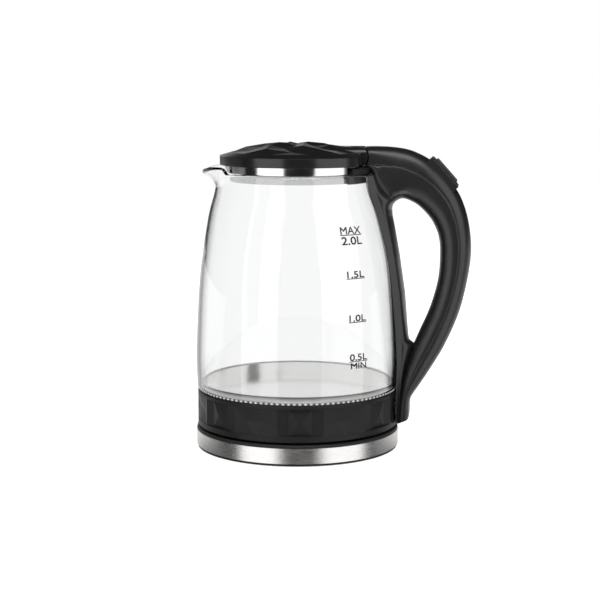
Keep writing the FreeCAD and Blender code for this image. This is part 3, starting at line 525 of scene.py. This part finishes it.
def roughened(nodes, links, grain, span):
    """Let the roughness follow the grain within a range."""
    links.new(mapped(nodes, links, grain, noise_range, span), nodes["Principled BSDF"].inputs["Roughness"])


def standing_share(nodes, links):
    """1 on upright faces, falling to 0 on level ones."""
    geometry = add(nodes, "ShaderNodeNewGeometry")
    split = add(nodes, "ShaderNodeSeparateXYZ")
    links.new(geometry.outputs["Normal"], split.inputs[0])
    level = maths(nodes, links, "ABSOLUTE", split.outputs["Z"])
    return mapped(nodes, links, level, level_range, (1.0, 0.0))


# Solid materials: fine grain, broad patches of colour, and edges softened by a radius in metres
grain_detail = 4
grain_relief = 0.0002
patch_scale = 28
patch_detail = 3
bevel_samples = 6


def grainy(name, dark, light, roughness, scale, bump, metallic=0.0, edge=0.0, stretch=(1, 1, 1),
           specular=0.5, painted_bright_walls=False):
    """A solid material with fine grain in its gloss and surface, and softened edges.

    Its lighter colour lies in broad patches, or, with the walls flag set, on the upright faces as a painted
    reflection.
    """
    made, nodes, links = material(name)
    shader = nodes["Principled BSDF"]
    shader.inputs["Metallic"].default_value = metallic
    shader.inputs["Specular IOR Level"].default_value = specular
    fine = noise(nodes, links, scale, grain_detail, stretch)
    # With the walls flag set, the lighter colour on upright faces is a painted reflection, otherwise random
    # patches
    patches_or_painted_walls = standing_share(nodes, links) if painted_bright_walls else noise(nodes, links, patch_scale, patch_detail)
    tinted(nodes, links, patches_or_painted_walls, dark, light, shader.inputs["Base Color"])
    roughened(nodes, links, fine, roughness)
    relief = add(nodes, "ShaderNodeBump", inputs={"Strength": bump, "Distance": grain_relief})
    links.new(fine, relief.inputs["Height"])
    links.new(relief.outputs["Normal"], shader.inputs["Normal"])
    if edge:
        bevel = add(nodes, "ShaderNodeBevel", {"samples": bevel_samples}, {"Radius": edge})
        links.new(bevel.outputs["Normal"], relief.inputs["Normal"])
    return made


# Seal: radii and heights in millimetres between which its pale colour gives way to painted shade
tooth_valley = 77.3
tooth_tip = 77.8
seal_outside = 74.65
seal_inside = 74.5
seal_top = 52.0
seal_pale_below = 49.2
# Colour of the painted shade in the valleys of the teeth and on the upper edge
seal_painted_shade = grey(0.03)
seal_pale = (0.85, 0.85, 0.84)
seal_grain = 1200
seal_roughness = (0.3, 0.45)


def toothed_seal(name):
    """Pale silicone, with painted shade on its upper edge under the glass and in the valleys between its
    teeth; pale below and inside and on the tips of its teeth.
    """
    made, nodes, links = material(name)
    place = add(nodes, "ShaderNodeTexCoord")
    split = add(nodes, "ShaderNodeSeparateXYZ")
    links.new(place.outputs["Object"], split.inputs[0])
    flat = add(nodes, "ShaderNodeCombineXYZ")
    for axis in "XY":
        links.new(split.outputs[axis], flat.inputs[axis])
    reach = add(nodes, "ShaderNodeVectorMath", {"operation": "LENGTH"})
    links.new(flat.outputs[0], reach.inputs[0])
    radius = reach.outputs["Value"]
    height = split.outputs["Z"]
    # Painted shade in the valleys between the teeth, pale at their tips
    tips_clear_of_shade = mapped(nodes, links, radius, (tooth_valley * MM, tooth_tip * MM))
    inside = mapped(nodes, links, radius, (seal_outside * MM, seal_inside * MM))
    # Painted shade on the outer upper edge above the glass's lower edge, pale below it and inside
    below = mapped(nodes, links, height, (seal_top * MM, seal_pale_below * MM))
    upper = add(nodes, "ShaderNodeMath", {"operation": "GREATER_THAN"}, {1: z_glass * MM})
    links.new(height, upper.inputs[0])
    clear_of_painted_shade = add(nodes, "ShaderNodeMix", {"data_type": "FLOAT"})
    links.new(upper.outputs[0], clear_of_painted_shade.inputs["Factor"])
    lip = maths(nodes, links, "MAXIMUM", inside, below)
    for number, value in zip(mix_values, (tips_clear_of_shade, lip)):
        links.new(value, clear_of_painted_shade.inputs[number])
    shader = nodes["Principled BSDF"]
    tinted(nodes, links, clear_of_painted_shade.outputs[0], seal_painted_shade, seal_pale, shader.inputs["Base Color"])
    roughened(nodes, links, noise(nodes, links, seal_grain, grain_detail), seal_roughness)
    return made


# Glass: its colours, with painted shade on walls seen edge on, the slant at which that painted shade sets
# in, and faint smears
glass_index = 1.47
glass_clear = (0.985, 0.99, 0.988)
glass_painted_dark_edge = (0.02, 0.022, 0.022)
glass_painted_faint_edge = (0.9, 0.91, 0.91)
painted_edge_slant = (0.57, 0.745)
smear_scale = 12
smear_detail = 2
smear_roughness = (0.0, 0.012)


def glass(name, painted_edge_colour):
    """Clear glass that takes a painted edge shade in the given colour where an upright wall is seen edge on.
    """
    made, nodes, links = material(name)
    shader = nodes["Principled BSDF"]
    shader.inputs["Transmission Weight"].default_value = 1.0
    shader.inputs["IOR"].default_value = glass_index
    slant = add(nodes, "ShaderNodeLayerWeight")
    # Painted shade where an upright wall is seen edge on
    painted_edge_on = mapped(nodes, links, slant.outputs["Facing"], painted_edge_slant)
    share = maths(nodes, links, "MULTIPLY", painted_edge_on, standing_share(nodes, links))
    tinted(nodes, links, share, glass_clear, painted_edge_colour, shader.inputs["Base Color"])
    roughened(nodes, links, noise(nodes, links, smear_scale, smear_detail), smear_roughness)
    return made


# Solid looks by slot: dark and light colour, range of roughness, scale of the grain, its relief, the rest
BLACK = (0.009, 0.009, 0.0095)
soft_edge = 0.0004
lid_edge = 0.0005
metal = {"metallic": 1.0}
finishes = {
    "handle_plastic": (BLACK, (0.015, 0.015, 0.0155), (0.3, 0.36), 2600, 0.1,
                       {"edge": soft_edge, "specular": 0.42}),
    "band_plastic": (BLACK, (0.013, 0.014, 0.013), (0.42, 0.5), 2400, 0.1,
                     {"edge": soft_edge, "specular": 0.17}),
    "lid_plastic": (BLACK, grey(0.014), (0.17, 0.22), 2400, 0.06, {"edge": lid_edge, "specular": 0.36}),
    "base_plastic": (BLACK, grey(0.016), (0.45, 0.6), 1800, 0.2, {"edge": soft_edge, "specular": 0.25}),
    "connector_plastic": (grey(0.02), grey(0.03), (0.4, 0.5), 1500, 0.2, {}),
    "rocker_plastic": (grey(0.02), grey(0.028), (0.4, 0.5), 2200, 0.15, {"edge": soft_edge}),
    "skirt_steel": ((0.52, 0.51, 0.5), (0.66, 0.65, 0.64), (0.24, 0.32), 90, 0.06,
                    {**metal, "stretch": (1, 1, 60)}),
    "collar_steel": (grey(0.52), grey(0.6), (0.1, 0.16), 60, 0.03, metal),
    # The plate's upright walls take the lighter colour as a painted reflection
    "heater_steel": ((0.68, 0.68, 0.67), (0.97, 0.97, 0.96), (0.12, 0.2), 500, 0.06,
                     {**metal, "painted_bright_walls": True}),
    "screw_steel": (grey(0.4), grey(0.55), (0.25, 0.4), 900, 0.1, metal),
    "foot_rubber": (grey(0.012), grey(0.02), (0.7, 0.85), 1500, 0.3, {}),
    "diffuser_aluminium": ((0.6, 0.6, 0.61), (0.75, 0.75, 0.76), (0.3, 0.5), 300, 0.2, metal),
    "element_sheath": ((0.3, 0.29, 0.27), (0.48, 0.46, 0.44), (0.4, 0.6), 400, 0.3, metal),
    "contact_brass": ((0.6, 0.45, 0.2), (0.75, 0.6, 0.3), (0.2, 0.35), 500, 0.1, metal),
    "bimetal": ((0.5, 0.45, 0.36), (0.62, 0.57, 0.46), (0.25, 0.4), 500, 0.1, metal),
    "wire_sleeve": ((0.42, 0.4, 0.36), (0.58, 0.56, 0.5), (0.7, 0.85), 3000, 0.4, {}),
}
looks = {slot: grainy(slot, *finish, **rest) for slot, (*finish, rest) in finishes.items()}
looks["seal_silicone"] = toothed_seal("seal_silicone")
# A dark painted shade on the outer skin's edges, and a faint painted shade on the inner skin's
looks["jug_glass"] = glass("jug_glass", glass_painted_dark_edge)
glass_inside = glass("jug_glass_inside", glass_painted_faint_edge)
ink = grainy("mark_ink", grey(0.03), grey(0.045), roughness=(0.85, 0.95), scale=3000, bump=0.05,
             specular=0.0)


# Pieces

def dress(piece, slot, body):
    """Give a piece its look and slot, and let it ride on a body."""
    piece.data.materials.append(looks[slot])
    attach(piece, body)


for entry in frame["record"]["subparts"]:
    node = frame["nodes"][entry["node"]]
    for place in node.material_slots:
        place.material = looks[entry["material_slot"]]

jug = glass_jug()
dress(jug, "jug_glass", "kettle")
jug.data.materials.append(glass_inside)
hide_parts("glass_jug")
upper_shell = handle_outer()
dress(upper_shell, "handle_plastic", "kettle")
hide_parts("handle_outer")
under_shell = handle_inner()
dress(under_shell, "handle_plastic", "kettle")
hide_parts("handle_inner")
printed = volume_marks()
printed.data.materials.append(ink)
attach(printed, "kettle")


# The studio: the floor's own size in millimetres, other lengths in metres
room_dark = grey(0.012)
room_pale = grey(0.4)
room_pale_patch = (0.92, 0.985)
floor_half = 3000
floor_drop = 0.05
floor_dark = grey(0.8)
floor_light = grey(0.82)
floor_scale = 3
floor_detail = 2
floor_roughness = 0.8
floor_glow = (0.8, 1.0)
floor_glow_reach = (0.1, 0.6)
polish_colour = grey(0.9)
polish_roughness = 0.15
paper_behind = (-0.08, 0.04)

# Softboxes: degrees round from the camera, distance, height, width, height of the box, and power in watts
softboxes = {
    "left_box": (-43, 1.5, 0.5, 1.27, 1.6, 14),
    "right_box": (52, 1.5, 0.5, 1.5, 1.6, 15),
    "overhead": (5, 0.8, 1.5, 1.4, 0.8, 18),
    "back_strip": (205, 1.4, 0.62, 0.5, 0.25, 2),
}
lamp_aim = Vector((0, 0, 0.12))


def ray_kinds(nodes, links):
    """Shares of the rays from the camera, through glass, and mirrored by a surface."""
    path = add(nodes, "ShaderNodeLightPath")
    through = path.outputs["Is Transmission Ray"]
    mirrored = add(nodes, "ShaderNodeMath", {"operation": "SUBTRACT", "use_clamp": True})
    links.new(path.outputs["Is Glossy Ray"], mirrored.inputs[0])
    links.new(through, mirrored.inputs[1])
    return path.outputs["Is Camera Ray"], through, mirrored.outputs[0]


def mixed(nodes, links, share, first, second):
    """A mix of two shaders."""
    mix = add(nodes, "ShaderNodeMixShader")
    links.new(share, mix.inputs["Fac"])
    links.new(first.outputs[0], mix.inputs[1])
    links.new(second.outputs[0], mix.inputs[2])
    return mix


def behind_object(nodes, links, place, span):
    """0 towards the camera's side of the studio and 1 behind the object."""
    away = add(nodes, "ShaderNodeVectorMath", {"operation": "DOT_PRODUCT"})
    away.inputs[1].default_value = (-math.sin(camera_turn), math.cos(camera_turn), 0)
    links.new(place, away.inputs[0])
    return mapped(nodes, links, away.outputs["Value"], span, curve="SMOOTHSTEP")


def lit_paper(nodes, links, spot, seen):
    """White paper that keeps a faint shadow near the object and glows to full white away from it."""
    shader = nodes["Principled BSDF"]
    shader.inputs["Roughness"].default_value = floor_roughness
    grain = noise(nodes, links, floor_scale, floor_detail)
    tinted(nodes, links, grain, floor_dark, floor_light, shader.inputs["Base Color"])
    away = add(nodes, "ShaderNodeVectorMath", {"operation": "LENGTH"})
    links.new(spot, away.inputs[0])
    fade = mapped(nodes, links, away.outputs["Value"], floor_glow_reach, floor_glow)
    glow = add(nodes, "ShaderNodeEmission")
    links.new(maths(nodes, links, "MULTIPLY", seen, fade), glow.inputs["Strength"])
    lit = add(nodes, "ShaderNodeAddShader")
    links.new(shader.outputs[0], lit.inputs[0])
    links.new(glow.outputs[0], lit.inputs[1])
    return lit


def floor():
    """Paper that the camera sees lit and glass sees white. Mirrors see white behind and polish in front."""
    edges = [[(x, y, -floor_drop) for y in (-floor_half, floor_half)] for x in (-floor_half, floor_half)]
    ground = mesh_object("floor", *lofted(edges, closed=False), flat=True)
    made, nodes, links = material("floor_white")
    seen, through, mirrored = ray_kinds(nodes, links)
    spot = add(nodes, "ShaderNodeNewGeometry").outputs["Position"]
    lit = lit_paper(nodes, links, spot, seen)
    paper = add(nodes, "ShaderNodeEmission")
    finish = {"Color": (*polish_colour, 1), "Roughness": polish_roughness}
    polish = add(nodes, "ShaderNodeBsdfAnisotropic", inputs=finish)
    behind = behind_object(nodes, links, spot, paper_behind)
    sheen = mixed(nodes, links, behind, polish, paper)
    outside = mixed(nodes, links, mirrored, lit, sheen)
    ground_look = mixed(nodes, links, through, outside, paper)
    links.new(ground_look.outputs[0], nodes["Material Output"].inputs["Surface"])
    ground.data.materials.append(made)


def world():
    """A studio that is white to the camera and through glass, and else dark with a paler patch behind."""
    sky = bpy.data.worlds.new("studio")
    bpy.context.scene.world = sky
    sky.use_nodes = True
    nodes, links = sky.node_tree.nodes, sky.node_tree.links
    room = nodes["Background"]
    place = add(nodes, "ShaderNodeTexCoord")
    behind = behind_object(nodes, links, place.outputs["Generated"], room_pale_patch)
    tinted(nodes, links, behind, room_dark, room_pale, room.inputs["Color"])
    backdrop = add(nodes, "ShaderNodeBackground", inputs={"Color": (1.0, 1.0, 1.0, 1.0), "Strength": 1.0})
    seen, through, _ = ray_kinds(nodes, links)
    direct = maths(nodes, links, "MAXIMUM", seen, through)
    studio = mixed(nodes, links, direct, room, backdrop)
    links.new(studio.outputs[0], nodes["World Output"].inputs["Surface"])


def softbox(name, azimuth, distance, height, width, tall, power):
    """A rectangular lamp on an arc round the object, aimed at its middle."""
    turn = camera_turn + math.radians(azimuth)
    data = bpy.data.lights.new(name, "AREA")
    data.shape = "RECTANGLE"
    data.size = width
    data.size_y = tall
    data.energy = power
    lamp = bpy.data.objects.new(name, data)
    lamp.visible_camera = False
    lamp.visible_transmission = False
    lamp.location = (distance * math.sin(turn), -distance * math.cos(turn), height)
    aim = lamp_aim - lamp.location
    lamp.rotation_euler = aim.to_track_quat("-Z", "Y").to_euler()
    bpy.context.scene.collection.objects.link(lamp)


def camera():
    """The photo's camera."""
    data = bpy.data.cameras.new("camera")
    data.lens = camera_lens
    data.sensor_width = camera_sensor
    data.shift_x = camera_shift
    made = bpy.data.objects.new("camera", data)
    reach = camera_distance * MM
    made.location = (reach * math.sin(camera_turn), -reach * math.cos(camera_turn), camera_height * MM)
    made.rotation_euler = (math.pi / 2 - camera_pitch, 0, camera_turn)
    bpy.context.scene.collection.objects.link(made)
    bpy.context.scene.camera = made


floor()
world()
for name, values in softboxes.items():
    softbox(name, *values)
camera()

scene = bpy.context.scene
scene.view_settings.view_transform = "Standard"
